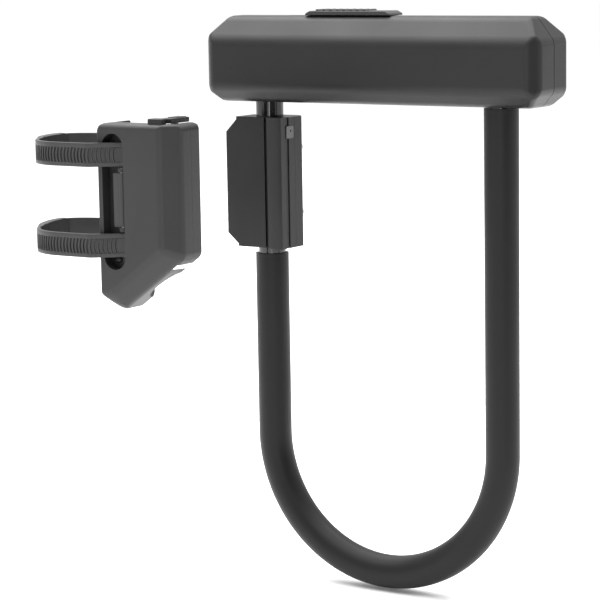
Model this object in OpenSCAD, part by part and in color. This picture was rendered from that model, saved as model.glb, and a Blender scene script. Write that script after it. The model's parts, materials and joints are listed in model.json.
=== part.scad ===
// U lock with a frame bracket: a bent steel shackle, a removable crossbar with
// the lock inside it, a clip on one leg, and a strap-on bracket that the clip
// docks into.
//
// Frame: +Z up, along the frame tube that the bracket is strapped to. The
// origin is on the tube's axis, midway between the two straps. X runs along
// the crossbar, and the lock stands behind the bracket, towards +Y.

/* [Shackle] */
// Diameter of the bare steel bar
bar_d = 14; // [12:0.5:18]
// Thickness of the rubber coat on the bar
coat_t = 1.5; // [1:0.1:3]
// Distance between the axes of the two legs
leg_span = 134.5; // [110:0.5:180]
// Straight leg length from the crossbar's underside to the centre of the bend
leg_drop = 170.7; // [120:1:260]
// Length of each leg inside the crossbar
leg_entry = 28; // [25:0.5:30]
// Bare steel between the clip and the start of the left leg's coat
bare_ring = 3.5; // [1:0.5:10]

/* [Crossbar] */
// Reach of the crossbar past each leg's axis
leg_overhang = 28.5; // [28:0.5:40]
// Height of the crossbar
cross_h = 43.4; // [43:0.1:50]
// Depth of the crossbar
cross_dp = 37.2; // [36:0.2:44]
// Size of the long chamfers along the top
top_chamfer = 11.65; // [8:0.05:12]
// Size of the long chamfers along the underside
low_chamfer = 7.55; // [5:0.05:9]
// Size of the upright chamfers at the four corners
side_chamfer = 5.1; // [3:0.1:6]
// Height of the hardened case
case_h = 27; // [24:0.5:28]
// Depth of the hardened case
case_dp = 25; // [23:0.5:25.5]
// Height of the case above the crossbar's underside
case_z = 6; // [5.5:0.1:7]
// Distance from each end of the crossbar to the hardened case
case_inset = 6.75; // [6:0.25:9]

/* [Lock mechanism] */
// Diameter of the cylinder housing
housing_d = 18; // [17:0.5:20]
// Diameter of the key plug
plug_d = 13; // [11:0.5:14]
// Diameter of the bolts
bolt_d = 8; // [6:0.5:9]
// Travel of each bolt into its shackle notch
bolt_throw = 5; // [3:0.5:5.5]
// Height of the bolts above the crossbar's underside
bolt_z = 17; // [15:0.5:18]
// Length of the keyhole cover
cover_len = 50; // [44:1:56]
// Width of the keyhole cover
cover_w = 13; // [11:0.5:13.5]
// Travel of the keyhole cover
cover_travel = 20; // [16:1:20]
// Number of thumb ridges on the keyhole cover
cover_ridges = 8; // [4:1:10]

/* [Clip] */
// Height of the clip on the left leg
clip_h = 66.7; // [50:0.1:70]
// Gap between the crossbar and the top of the clip
clip_gap = 7.7; // [5:0.1:12]
// Reach of the wing plate past the bar, to the left
wing_len = 13.5; // [11:0.5:16.5]
// Reach of the clip past the bar, to the right
clip_side = 8; // [8:0.5:11]
// Depth of the clip in front of the bar
clip_cover = 6; // [6:0.5:9]

/* [Bracket] */
// Diameter of the bicycle tube that the bracket is strapped to
tube_d = 34.9; // [28.6:0.1:36]
// Thickness of the rubber saddle between the tube and the bracket
saddle_t = 3.85; // [2:0.05:6]
// Thickness of the bracket's right wall
side_wall = 4.9; // [4.9:0.1:9]
// Thickness between the strap recess and the clip's socket
bracket_web = 3.2; // [3.2:0.1:6]
// Height of the bracket
bracket_h = 92; // [86:0.5:111]
// Height of the bracket's right side, down to the slanted underside
bracket_side_h = 64; // [58:0.5:70]
// Size of the chamfer around the bracket's front face
bracket_chamfer = 7.8; // [4:0.2:8]
// Thickness of the bracket's outer walls
wall = 3; // [2.5:0.1:3]
// Travel of the lock from beside the bracket into its socket
dock_travel = 90; // [70:1:120]
// Travel of the latch that holds the clip in the socket
latch_travel = 3; // [2:0.1:3.2]

/* [Straps] */
// Distance between the middles of the two straps
strap_gap = 43.7; // [38:0.1:50]
// Width of each strap
strap_w = 11.5; // [8:0.5:13]
// Thickness of each strap
strap_t = 2; // [1.5:0.1:2.4]

/* [Fits] */
// Radial clearance of a turning or sliding fit
run_fit = 0.06; // [0.03:0.01:0.1]
// Gap between pieces that pass each other
air = 0.5; // [0.4:0.05:0.8]

/* [Hidden] */
$fn = 64;

bar_r = bar_d / 2;
coat_r = bar_r + coat_t;
half_span = leg_span / 2;
notch_dp = bolt_throw + 0.3;

// Bracket: its box in the frame
tube_r = tube_d / 2;
wing_reach = bar_r + wing_len;
clip_reach = bar_r + clip_side;
clip_front_dp = bar_r + clip_cover;
recess_dp = 5.8;
bracket_w = 2 * air + wall + wing_reach + clip_reach + 0.3 + side_wall;
bracket_dp = recess_dp + bracket_web + air + clip_front_dp + 1;
bracket_x = tube_r + saddle_t;
bracket_y = -13;
bracket_right = bracket_x + bracket_w;
bracket_back = bracket_y + bracket_dp;
rim_z = 36.8;
bracket_low = rim_z - bracket_h;
seam_gap = 0.1;
bracket_seam = bracket_back - 7.99;
liner_t = 1.5;

// Where the leg stands when the clip is home, and where the lock stands apart
leg_x = bracket_x + wall + air + wing_reach;
home_y = bracket_back - 1;
leg_y = home_y + dock_travel;
cross_x = leg_x + half_span;
cross_z = rim_z + 4.1;
clip_top = cross_z - clip_gap;
clip_low = clip_top - clip_h;
coat_top_left = clip_low - bare_ring - cross_z;
coat_top_right = -0.6;

// Clip in plan, measured from the leg's axis
rib_x = bar_r - 1.1;
plate_y = -clip_front_dp + 3;
wing_t = 4.5;
clip_left = -bar_r - 7.5;
clip_back = bar_r + 3.5;
screw_r = 1.5;
screw_head_r = 2.7;
clip_screw_x = bar_r + 4.2;

// Socket of the bracket
socket_x = leg_x - wing_reach - air;
socket_right = leg_x + clip_reach + 0.3 + air;
socket_y = home_y - clip_front_dp - air;
socket_z = clip_low - air;

// Strap recess in the bracket's front face
recess_x = bracket_x + wall;
recess_w = 12.6;
recess_top = rim_z - 4.8;
recess_low = recess_top - 65.5;
recess_floor = bracket_y + recess_dp;
strap_mid = tube_r + strap_t / 2;
tail_y = recess_floor - strap_t / 2 - 0.4;
tail_x = recess_x + recess_w + 2.5;
bead_r = 2.2;
bead = [bracket_x - 3.2, bracket_back + 1.8];

// Latch at the top of the bracket, to the right of the bar: a head that runs
// front to back, a guide stem in front and a foot that drops into the clip
latch_x0 = leg_x + bar_r + 1.1;
latch_x1 = leg_x + clip_reach + 0.1;
latch_top = rim_z + 2.5;
latch_back = home_y;
latch_stem_x0 = latch_x0 - 3.6;
latch_stem_x1 = latch_x1 - 2.1;
latch_stem_y = bracket_y + 3;
latch_stem_t = 3.6;
latch_head_t = 2.4;
foot_x0 = bar_r + 2.5;
foot_x1 = clip_reach - 2.5;
foot_y0 = -bar_r - 0.9;
foot_y1 = -bar_r + 1.8;
foot_air = 0.6;
notch_deep = latch_travel + 1;

// Strap release lever
lever_w = 4.5;
lever_h = 26;
lever_t = 1.8;
lever_pin_r = 1;
lever_barrel_r = 1.7;
lever_x = recess_x + recess_w - 3.6;
lever_y = recess_floor - lever_barrel_r - 0.2;

// Crossbar: heights above its underside
cross_len = leg_span + 2 * leg_overhang;
case_len = cross_len - 2 * case_inset;
case_top = case_z + case_h;
pocket_top = cross_h - 3.4;
housing_r = housing_d / 2;
plug_r = plug_d / 2;
bolt_r = bolt_d / 2;
cam_r = 3.5;
cam_h = bolt_d - 0.8;
cam_clear = 0.22 * bolt_throw + 0.15;
bolt_inner = cam_r + cam_clear;
bolt_outer = half_span - bar_r - 0.55;
pocket_r = housing_r + 0.05;
cam_floor = bolt_z - bolt_r - 1;
housing_low = bolt_z + bolt_r + 1;
housing_top = pocket_top - 1.8;
keyhole_r = 4.5;
cover_right = 9;
cover_h = 2.3;
cover_lift = 0.1;
ridge_h = 0.8;
runner_len = 22;
runner_right = cover_right - 21;
runner_neck = 3.6;
runner_foot = 7;
end_top = 9;
end_low = 6.6;
bush_wall = 2.2;
bush_gap = 0.3;

// ---- Helpers ----

// Places children in the crossbar's own frame: X from its middle, Y from the
// plane of the legs, Z from its underside
module in_lock() translate([cross_x, leg_y, cross_z]) children();

// Extrudes a YZ outline along X, centred
module along_x(len) translate([-len / 2, 0, 0]) rotate([90, 0, 90]) linear_extrude(len) children();

// Extrudes an XZ outline along Y from y0 to y1
module along_y(y0, y1) translate([0, y1, 0]) rotate([90, 0, 0]) linear_extrude(y1 - y0) children();

// A round hole or pin along Y from y0 to y1
module rod_y(x, z, r, y0, y1) translate([x, y0, z]) rotate([-90, 0, 0]) cylinder(h = y1 - y0, r = r);

// A box given by its two corners
module block(a, b) translate(a) cube(b - a);

module round_slot(w, h) {
    square([w, h - w], center = true);
    for (s = [-1, 1]) translate([0, s * (h - w) / 2]) circle(d = w);
}

// ---- Crossbar ----

module cross_section() {
    y = cross_dp / 2;
    polygon([[-y, low_chamfer], [-y + low_chamfer, 0], [y - low_chamfer, 0], [y, low_chamfer],
        [y, cross_h - top_chamfer], [y - top_chamfer, cross_h], [-y + top_chamfer, cross_h],
        [-y, cross_h - top_chamfer]]);
}

module cross_front_outline() {
    x = cross_len / 2;
    polygon([[-x, low_chamfer], [-x + end_low, 0], [x - end_low, 0], [x, low_chamfer],
        [x, cross_h - top_chamfer], [x - end_top, cross_h], [-x + end_top, cross_h],
        [-x, cross_h - top_chamfer]]);
}

module cross_plan() {
    x = cross_len / 2;
    y = cross_dp / 2;
    c = side_chamfer;
    polygon([[-x, -y + c], [-x + c, -y], [x - c, -y], [x, -y + c], [x, y - c], [x - c, y],
        [-x + c, y], [-x, y - c]]);
}

module cross_outer() {
    intersection() {
        along_x(cross_len) cross_section();
        along_y(-cross_dp / 2, cross_dp / 2) cross_front_outline();
        linear_extrude(cross_h) cross_plan();
    }
}

// Everything hollow inside the two shells
module cross_hollow() {
    block([-case_len / 2 - 0.1, -case_dp / 2 - 0.1, case_z - 0.1],
        [case_len / 2 + 0.1, case_dp / 2 + 0.1, case_top + 0.1]);
    for (s = [-1, 1]) translate([s * half_span, 0, -1]) cylinder(h = case_z + 1, r = bar_r + bush_gap + bush_wall);
    translate([0, 0, case_z]) cylinder(h = pocket_top - case_z, r = pocket_r);
    translate([0, 0, case_z]) cylinder(h = cross_h, r = keyhole_r);
    // T-shaped groove for the keyhole cover's runner
    x0 = runner_right - runner_len - cover_travel - 0.6;
    x1 = runner_right + 0.6;
    block([x0, -runner_neck / 2 - 0.2, cross_h - 4.6], [x1, runner_neck / 2 + 0.2, cross_h + 1]);
    block([x0, -runner_foot / 2 - 0.2, cross_h - 4.6], [x1, runner_foot / 2 + 0.2, cross_h - 1.9]);
}

function shell_screw_places() = [for (s = [-1, 1])
    each [[s * (half_span + 4.75), cross_h - 6.6], [s * (half_span - 32.25), 3]]];

module shell_screw_holes() {
    for (p = shell_screw_places()) {
        rod_y(p[0], p[1], screw_r, -8.1, 9);
        rod_y(p[0], p[1], screw_head_r + 0.1, 8, cross_dp / 2 + 1);
    }
}

module crossbar_front_shell() color("#3a3a3c") in_lock() difference() {
    cross_outer();
    cross_hollow();
    shell_screw_holes();
    block([-cross_len, -seam_gap / 2, -1], [cross_len, cross_dp, cross_h + 1]);
}

module crossbar_rear_shell() color("#3a3a3c") in_lock() difference() {
    cross_outer();
    cross_hollow();
    shell_screw_holes();
    block([-cross_len, -cross_dp, -1], [cross_len, seam_gap / 2, cross_h + 1]);
}

module shell_screws() color("#8a8c90") in_lock()
    for (p = shell_screw_places()) difference() {
        union() {
            rod_y(p[0], p[1], screw_r, -8, 8.5);
            rod_y(p[0], p[1], screw_head_r, 8, 10);
        }
        rod_y(p[0], p[1], 1.1, 8.8, 11);
    }

module hardened_case() color("#77797d") in_lock() difference() {
    block([-case_len / 2, -case_dp / 2, case_z], [case_len / 2, case_dp / 2, case_top]);
    for (s = [-1, 1]) translate([s * half_span, 0, case_z - 1])
        cylinder(h = leg_entry - case_z + 1.5, r = bar_r + run_fit);
    translate([0, 0, cam_floor]) cylinder(h = case_top, r = pocket_r);
    translate([-case_len, 0, bolt_z]) rotate([0, 90, 0]) cylinder(h = 2 * case_len, r = bolt_r + run_fit);
}

module case_end_plugs() color("#6c6e72") in_lock()
    for (s = [-1, 1]) translate([s * (case_len / 2 - 3), 0, bolt_z])
        rotate([0, 90, 0]) cylinder(h = 6, r = bolt_r + run_fit, center = true);

module shackle_bushings() color("#242426") in_lock()
    for (s = [-1, 1]) translate([s * half_span, 0, 0.2]) difference() {
        cylinder(h = case_z - 0.4, r = bar_r + bush_gap + bush_wall);
        translate([0, 0, -1]) cylinder(h = case_z + 2, r = bar_r + bush_gap);
    }

// ---- Lock mechanism ----

module cylinder_housing() color("#b39a58") in_lock() difference() {
    translate([0, 0, housing_low]) cylinder(h = housing_top - housing_low, r = housing_r);
    translate([0, 0, housing_low - 1]) cylinder(h = housing_top, r = plug_r + run_fit);
}

module drill_plate() color("#8d9095") in_lock() difference() {
    translate([0, 0, housing_top + 0.2]) cylinder(h = 1.4, r = housing_r);
    translate([0, 0, housing_top - 1]) cylinder(h = 5, r = keyhole_r);
}

module key_plug() color("#c8ad66") in_lock() difference() {
    union() {
        translate([0, 0, housing_low - 0.4]) cylinder(h = housing_top - housing_low + 0.3, r = plug_r);
        translate([0, 0, bolt_z]) cylinder(h = housing_low - bolt_z, r = 2.4);
    }
    block([-1.1, -3.6, housing_low + 2], [1.1, 3.6, housing_top + 1]);
}

module plug_clip() color("#8a8c90") in_lock() difference() {
    translate([0, 0, housing_low - 0.8]) cylinder(h = 0.4, r = plug_r - 1);
    translate([0, 0, housing_low - 2]) cylinder(h = 3, r = 2.4);
}

// A long cam that lies across the bolts when open and along them when locked
module bolt_cam() color("#9a9da2") in_lock() difference() {
    translate([0, 0, bolt_z - cam_h / 2]) linear_extrude(cam_h - 0.4)
        rotate(90) union() {
            square([2 * bolt_throw, 2 * cam_r], center = true);
            for (s = [-1, 1]) translate([s * bolt_throw, 0]) circle(r = cam_r);
        }
    translate([0, 0, bolt_z]) cylinder(h = cam_h, r = 2.4);
}

module bolt(side) in_lock() translate([side * bolt_inner, 0, bolt_z]) rotate([0, side * 90, 0]) {
    cylinder(h = bolt_outer - bolt_inner - 1, r = bolt_r);
    translate([0, 0, bolt_outer - bolt_inner - 1]) cylinder(h = 1, r1 = bolt_r, r2 = bolt_r - 0.8);
}

module bolt_left() color("#a6a9ae") bolt(-1);

module bolt_right() color("#a6a9ae") bolt(1);

// Low keyhole cover with sloped ends, thumb ridges and a T-shaped runner
module keyhole_cover() color("#48484b") in_lock() {
    z0 = cross_h + cover_lift;
    z1 = z0 + cover_h;
    x1 = cover_right;
    x0 = x1 - cover_len;
    along_y(-cover_w / 2, cover_w / 2)
        polygon([[x0, z0], [x1, z0], [x1 - 0.6, z0 + 1.1], [x1 - 3, z1], [x0 + 3, z1], [x0 + 0.6, z0 + 1.1]]);
    first = x0 + 7;
    last = x1 - 15.5;
    step = (last - first) / (cover_ridges - 1);
    for (i = [0 : cover_ridges - 1]) translate([first + i * step, 0, 0])
        along_y(-cover_w / 2 + 1, cover_w / 2 - 1)
            polygon([[-1.5, z1 - 0.1], [1.5, z1 - 0.1], [0.5, z1 + ridge_h], [-0.5, z1 + ridge_h]]);
    block([runner_right - runner_len, -runner_neck / 2, cross_h - 2.4], [runner_right, runner_neck / 2, z0 + 0.5]);
    block([runner_right - runner_len, -runner_foot / 2, cross_h - 4.2], [runner_right, runner_foot / 2, cross_h - 2.3]);
}

// ---- Shackle ----

// The bent bar's outline swept round: two legs and a half circle
module bent_bar(r, left_top, right_top) {
    for (s = [[-1, left_top], [1, right_top]])
        translate([s[0] * half_span, 0, -leg_drop]) cylinder(h = leg_drop + s[1], r = r);
    translate([0, 0, -leg_drop]) rotate([-90, 0, 0])
        rotate_extrude(angle = 180) translate([half_span, 0]) circle(r = r);
}

module shackle_bar() color("#2b2b2d") in_lock() difference() {
    union() {
        bent_bar(bar_r, leg_entry - 1.5, leg_entry - 1.5);
        for (s = [-1, 1]) translate([s * half_span, 0, leg_entry - 1.5])
            cylinder(h = 1.5, r1 = bar_r, r2 = bar_r - 1.5);
    }
    // Notches that the bolts enter
    for (s = [-1, 1]) translate([s * (half_span - bar_r), 0, bolt_z])
        cube([2 * notch_dp, bar_d + 2, bolt_d + 1.4], center = true);
}

module shackle_coat() color("#1f1f21") in_lock() difference() {
    bent_bar(coat_r, coat_top_left, coat_top_right);
    bent_bar(bar_r, leg_entry, leg_entry);
}

// ---- Clip on the left leg ----

module at_leg() translate([leg_x, leg_y, 0]) children();

module clip_bore() translate([0, 0, clip_low - 1]) cylinder(h = clip_h + 2, r = bar_r);

function clip_screw_places() = [for (s = [-1, 1], z = [0.25, 0.75]) [s * clip_screw_x, clip_low + z * clip_h]];

module clip_screw_holes() for (p = clip_screw_places()) {
    rod_y(p[0], p[1], screw_r, -6.1, clip_back - 2.9);
    rod_y(p[0], p[1], screw_head_r + 0.1, clip_back - 3, clip_back + 1);
}

module clip_front() color("#333335") at_leg() difference() {
    union() {
        // Wing plate with two cut corners on its free edge
        along_y(plate_y, plate_y + wing_t) polygon([[-wing_reach, clip_low + 6.8],
            [-wing_reach + 8, clip_low], [rib_x, clip_low], [rib_x, clip_top],
            [-wing_reach + 7.8, clip_top], [-wing_reach, clip_top - 7.9]]);
        block([rib_x, -clip_front_dp, clip_low], [clip_reach + 0.3, plate_y + wing_t, clip_top]);
        block([clip_left, plate_y + 0.5, clip_low], [clip_reach, -seam_gap / 2, clip_top]);
    }
    clip_bore();
    clip_screw_holes();
    // Narrow groove beside the rib
    block([clip_reach - 0.5, plate_y + 0.8, clip_low - 1], [clip_reach + 1, plate_y + wing_t + 0.1, clip_top + 1]);
    // Pocket that the foot of the bracket's latch drops into
    block([foot_x0 - foot_air, foot_y0 - foot_air, clip_top - notch_deep],
        [foot_x1 + foot_air, foot_y1 + foot_air, clip_top + 1]);
}

module clip_rear() color("#333335") at_leg() difference() {
    along_c = 4;
    translate([0, 0, clip_low]) linear_extrude(clip_h) polygon([[clip_left, seam_gap / 2],
        [clip_reach, seam_gap / 2], [clip_reach, clip_back - along_c], [clip_reach - along_c, clip_back],
        [clip_left + along_c, clip_back], [clip_left, clip_back - along_c]]);
    clip_bore();
    clip_screw_holes();
}

module clip_screws() color("#8a8c90") at_leg() for (p = clip_screw_places()) difference() {
    union() {
        rod_y(p[0], p[1], screw_r, -6, clip_back - 2.9);
        rod_y(p[0], p[1], screw_head_r, clip_back - 3, clip_back - 1);
    }
    rod_y(p[0], p[1], 1.1, clip_back - 2.2, clip_back);
}

module clip_screw_plug() color("#5b5b5e") at_leg()
    translate([clip_reach, -4.9, clip_top - 7.6]) rotate([90, 0, 90]) linear_extrude(0.5) difference() {
        union() {
            square([6.2, 4.6], center = true);
            square([4.6, 6.2], center = true);
            for (i = [-1, 1], j = [-1, 1]) translate([i * 2.3, j * 2.3]) circle(r = 0.8);
        }
        translate([0.6, 0.6]) circle(r = 0.6);
    }

// ---- Bracket ----

// The bracket seen from the front, shrunk by cut on its right and lower sides
module bracket_outline(cut) {
    tip = 7.2;
    foot = 7.3;
    drop = bracket_h - bracket_side_h;
    run = bracket_w - tip;
    len = sqrt(drop * drop + run * run);
    lift = cut * len / run;
    slope = drop / run;
    right = bracket_w - cut;
    polygon([[0, 0], [right, 0], [right, -bracket_side_h + lift - slope * cut],
        [tip, -bracket_h + lift], [0, -bracket_h + foot + cut * 0.12]]);
}

module bracket_outer() translate([bracket_x, 0, rim_z]) hull() {
    along_y(bracket_y + bracket_chamfer, bracket_back) bracket_outline(0);
    along_y(bracket_y, bracket_back) bracket_outline(bracket_chamfer);
}

function bracket_screw_places() = [[bracket_right - 2.6, rim_z - 12], [bracket_right - 2.6, rim_z - 50],
    [bracket_x + 6, bracket_low + 14]];

module bracket_hollow() {
    // Socket for the clip, open at the back and at the top
    block([socket_x, socket_y, socket_z], [socket_right, bracket_back + 5, rim_z + 5]);
    // Scoop for the coated leg under the clip
    translate([leg_x, home_y, bracket_low - 1]) cylinder(h = bracket_h, r = coat_r + air);
    // Round-ended strap recess in the front face
    translate([recess_x + recess_w / 2, 0, (recess_top + recess_low) / 2])
        along_y(bracket_y - 1, recess_floor) round_slot(recess_w, recess_top - recess_low);
    // Pockets for the tails of the straps
    for (s = [-1, 1])
        block([recess_x + recess_w - 4, tail_y - strap_t / 2 - 0.3, s * strap_gap / 2 - strap_w / 2 - 0.3],
            [tail_x + 0.4, tail_y + strap_t / 2 + 0.3, s * strap_gap / 2 + strap_w / 2 + 0.3]);
    // Guide pocket for the latch's stem, and room for its head
    block([latch_stem_x0 - 0.3, latch_stem_y - 0.1, clip_top - 6],
        [latch_stem_x1 + 0.3, latch_stem_y + latch_stem_t + 0.1, rim_z + 1]);
    block([latch_stem_x0 - 0.3, latch_stem_y - 0.1, latch_top - latch_head_t - latch_travel - 0.3],
        [latch_stem_x1 + 0.3, socket_y + 1, rim_z + 1]);
    block([latch_x0 - 0.3, socket_y - 1.3, latch_top - latch_head_t - latch_travel - 0.3],
        [latch_x1 + 0.3, socket_y + 1, rim_z + 1]);
    // Bore for the release lever's pin
    translate([lever_x, lever_y, -lever_h / 2 - 2.5]) cylinder(h = lever_h + 5, r = lever_pin_r);
}

module lever_lugs() for (s = [-1, 1])
    translate([lever_x, lever_y, s * (lever_h / 2 + 1.3)]) {
        cylinder(h = 2, r = 2, center = true);
        translate([0, 1.4, 0]) cube([4, 2.8, 2], center = true);
    }

module bracket_screw_holes() for (p = bracket_screw_places())
    rod_y(p[0], p[1], 1.2, bracket_seam - 6, bracket_back + 1);

// What belongs to the rear shell: everything behind the seam, and the thin
// liner that reaches forward round the socket
module rear_zone(gap) {
    block([bracket_x - 20, bracket_seam + gap, bracket_low - 1], [bracket_right + 5, bracket_back + 9, rim_z + 6]);
    block([socket_x - liner_t + gap, socket_y - liner_t + gap, bracket_low - 1],
        [socket_right + liner_t - gap, bracket_back + 9, rim_z + 6]);
}

module bracket_front_shell() color("#4a4a4c") difference() {
    union() {
        difference() {
            bracket_outer();
            bracket_hollow();
        }
        lever_lugs();
    }
    translate([lever_x, lever_y, -lever_h / 2 - 2.5]) cylinder(h = lever_h + 5, r = lever_pin_r);
    bracket_screw_holes();
    rear_zone(-seam_gap / 2);
}

// Ears at the back that hold the beads of the straps
module strap_ears() for (s = [-1, 1]) difference() {
    block([bead[0] - 3.6, bracket_seam + seam_gap, s * strap_gap / 2 - strap_w / 2 - 2],
        [socket_x, bead[1] + 3.4, s * strap_gap / 2 + strap_w / 2 + 2]);
    translate([0, 0, s * strap_gap / 2 - strap_w / 2 - 0.2]) linear_extrude(strap_w + 0.4) {
        translate(bead) circle(r = bead_r + 0.1);
        polygon([[bead[0] - 8, bead[1] + 0.5], [bead[0] + 0.2, bead[1] - 1.9], [bead[0] + 2, bead[1] + 0.4],
            [bead[0] - 2, bead[1] + 6], [bead[0] - 8, bead[1] + 6]]);
    }
    translate([0, 0, -100]) cylinder(h = 200, r = tube_r + 0.3);
}

module bracket_rear_shell() color("#4a4a4c") difference() {
    union() {
        difference() {
            intersection() {
                bracket_outer();
                rear_zone(seam_gap / 2);
            }
            bracket_hollow();
        }
        strap_ears();
    }
    bracket_screw_holes();
}

module bracket_screws() color("#8a8c90") for (p = bracket_screw_places()) difference() {
    rod_y(p[0], p[1], 1.2, bracket_seam - 6, bracket_back - 0.5);
    rod_y(p[0], p[1], 0.7, bracket_back - 1.6, bracket_back);
}

module saddle_pad() color("#222224") difference() {
    block([tube_r - 2, -5.5, -33], [bracket_x, bracket_seam - 1.2, 33]);
    translate([0, 0, -40]) cylinder(h = 80, r = tube_r);
}

module dock_latch() color("#232325") {
    block([latch_stem_x0, latch_stem_y, clip_top - 2], [latch_stem_x1, latch_stem_y + latch_stem_t, latch_top]);
    block([latch_stem_x0, latch_stem_y, latch_top - latch_head_t], [latch_stem_x1, socket_y, latch_top]);
    block([latch_x0, socket_y - 1, latch_top - latch_head_t], [latch_x1, latch_back, latch_top]);
    block([leg_x + foot_x0, home_y + foot_y0, clip_top + foot_air], [leg_x + foot_x1, home_y + foot_y1, latch_top]);
}

// ---- Straps ----

module strap_plan() {
    t = strap_t;
    r = tube_r;
    difference() {
        circle(r = r + t);
        circle(r = r);
        translate([0, -r - 5]) square(2 * r + 10);
    }
    bend_x = bracket_x - 1;
    drop_x = recess_x + recess_w - 3.5;
    // Front run, which dips into the recess and ends in its pocket
    polygon([[0, -r - t], [bend_x, -r - t], [drop_x, tail_y - t / 2], [tail_x, tail_y - t / 2],
        [tail_x, tail_y + t / 2], [drop_x - 0.5, tail_y + t / 2], [bend_x - 0.5, -r], [0, -r]]);
    // Back run, which ends in a bead
    polygon([[0, r], [5, r], [bead[0] - 1, bead[1] - 1.2], [bead[0] + 0.6, bead[1] + 1],
        [5.8, r + t], [0, r + t]]);
    translate(bead) circle(r = bead_r);
}

module strap(side) translate([0, 0, side * strap_gap / 2 - strap_w / 2]) linear_extrude(strap_w) strap_plan();

module strap_upper() color("#3c3c3e") strap(1);

module strap_lower() color("#3c3c3e") strap(-1);

module strap_release() color("#505053") difference() {
    union() {
        block([lever_x - lever_w, lever_y - lever_t / 2 - 0.6, -lever_h / 2], [lever_x, lever_y + lever_t / 2 - 0.6, lever_h / 2]);
        translate([lever_x, lever_y, -lever_h / 2]) cylinder(h = lever_h, r = lever_barrel_r);
    }
    translate([lever_x, lever_y, -lever_h]) cylinder(h = 2 * lever_h, r = lever_pin_r + run_fit);
}

module release_pin() color("#8a8c90")
    translate([lever_x, lever_y, -lever_h / 2 - 2.4]) cylinder(h = lever_h + 4.8, r = lever_pin_r);

crossbar_front_shell();
crossbar_rear_shell();
shell_screws();
hardened_case();
case_end_plugs();
shackle_bushings();
cylinder_housing();
drill_plate();
keyhole_cover();
key_plug();
bolt_cam();
plug_clip();
bolt_left();
bolt_right();
shackle_bar();
shackle_coat();
clip_front();
clip_rear();
clip_screws();
clip_screw_plug();
bracket_front_shell();
bracket_rear_shell();
bracket_screws();
saddle_pad();
strap_upper();
strap_lower();
strap_release();
release_pin();
dock_latch();
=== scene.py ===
# %% [markdown]
# # A U lock with a frame bracket
#
# This file dresses a finished CAD model of a bicycle U lock. The lock has a
# bent steel shackle in a rubber coat, a crossbar that holds the lock, a clip on
# one leg, and a bracket that two ridged straps hold to a frame tube. The CAD
# solids come in as the fixed frame: nothing here changes them. What is added
# is what a CAD kernel leaves out, which is soft edges, ridges, seams, grain and
# light, and straps that hang a little slacker than the plain CAD bands. All lengths are in metres, and mm turns millimetres into them.

# %% Tools and the frame
import json
import math

import bmesh
import bpy
from mathutils import Matrix, Vector


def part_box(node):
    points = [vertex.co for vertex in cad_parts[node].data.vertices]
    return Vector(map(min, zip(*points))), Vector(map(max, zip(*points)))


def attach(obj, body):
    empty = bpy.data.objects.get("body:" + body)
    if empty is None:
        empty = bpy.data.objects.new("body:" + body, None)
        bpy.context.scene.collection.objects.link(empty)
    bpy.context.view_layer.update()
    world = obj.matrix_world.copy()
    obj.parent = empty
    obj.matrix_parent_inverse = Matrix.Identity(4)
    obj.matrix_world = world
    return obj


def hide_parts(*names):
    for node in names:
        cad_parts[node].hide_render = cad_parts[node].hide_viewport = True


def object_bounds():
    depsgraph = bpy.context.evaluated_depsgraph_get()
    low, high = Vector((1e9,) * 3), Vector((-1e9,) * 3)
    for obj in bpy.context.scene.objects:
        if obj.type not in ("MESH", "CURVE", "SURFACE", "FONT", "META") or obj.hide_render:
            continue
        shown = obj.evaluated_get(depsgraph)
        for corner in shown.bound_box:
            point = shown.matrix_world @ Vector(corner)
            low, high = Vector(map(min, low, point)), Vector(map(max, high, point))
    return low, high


mm = 0.001
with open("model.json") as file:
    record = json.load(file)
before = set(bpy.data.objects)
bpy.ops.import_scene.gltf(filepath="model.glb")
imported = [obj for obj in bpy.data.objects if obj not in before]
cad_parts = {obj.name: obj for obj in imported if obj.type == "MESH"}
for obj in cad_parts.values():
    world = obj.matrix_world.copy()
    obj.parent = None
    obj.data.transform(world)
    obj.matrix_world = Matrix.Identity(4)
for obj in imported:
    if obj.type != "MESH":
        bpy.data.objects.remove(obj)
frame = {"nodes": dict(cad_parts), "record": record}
cad_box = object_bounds()
nodes = frame["nodes"]
body_of_node = {n: b for b, names in frame["record"]["behaviour"]["bodies"].items() for n in names}
print("CAD nodes:", len(nodes), "box:", [list(c) for c in cad_box])

# %% [markdown]
# ## The camera
#
# A long lens from a little above the crossbar keeps the upright edges nearly
# parallel, which is how such a lock is usually shown. The camera is placed
# first, because every later choice about edges and gloss is judged through it.
# Its axes are built from three plain angles, turned round the object, tipped
# down and rolled, so each one can be changed alone.

# %% Camera
def camera_axes(azimuth, pitch, roll):
    """Right, up and forward vectors of a camera turned, tipped and rolled by degrees."""
    a, p, r = (math.radians(v) for v in (azimuth, pitch, roll))
    ahead = Vector((-math.sin(a) * math.cos(p), math.cos(a) * math.cos(p), -math.sin(p)))
    side = Vector((math.cos(a), math.sin(a), 0))
    up = side.cross(ahead)
    return math.cos(r) * side + math.sin(r) * up, math.cos(r) * up - math.sin(r) * side, ahead


right, up, ahead = camera_axes(33.67, 8.44, -0.96)
cam = bpy.data.objects.new("camera", bpy.data.cameras.new("camera"))
cam.data.lens = 143.72
cam.data.sensor_width = 36
cam.data.clip_end = 200
cam.matrix_world = Matrix.Translation((0.7359, -0.9123, 0.1195)) @ Matrix((right, up, -ahead)).transposed().to_4x4()
bpy.context.scene.collection.objects.link(cam)
bpy.context.scene.camera = cam
print("camera at", tuple(round(v, 4) for v in cam.matrix_world.translation))

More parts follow.
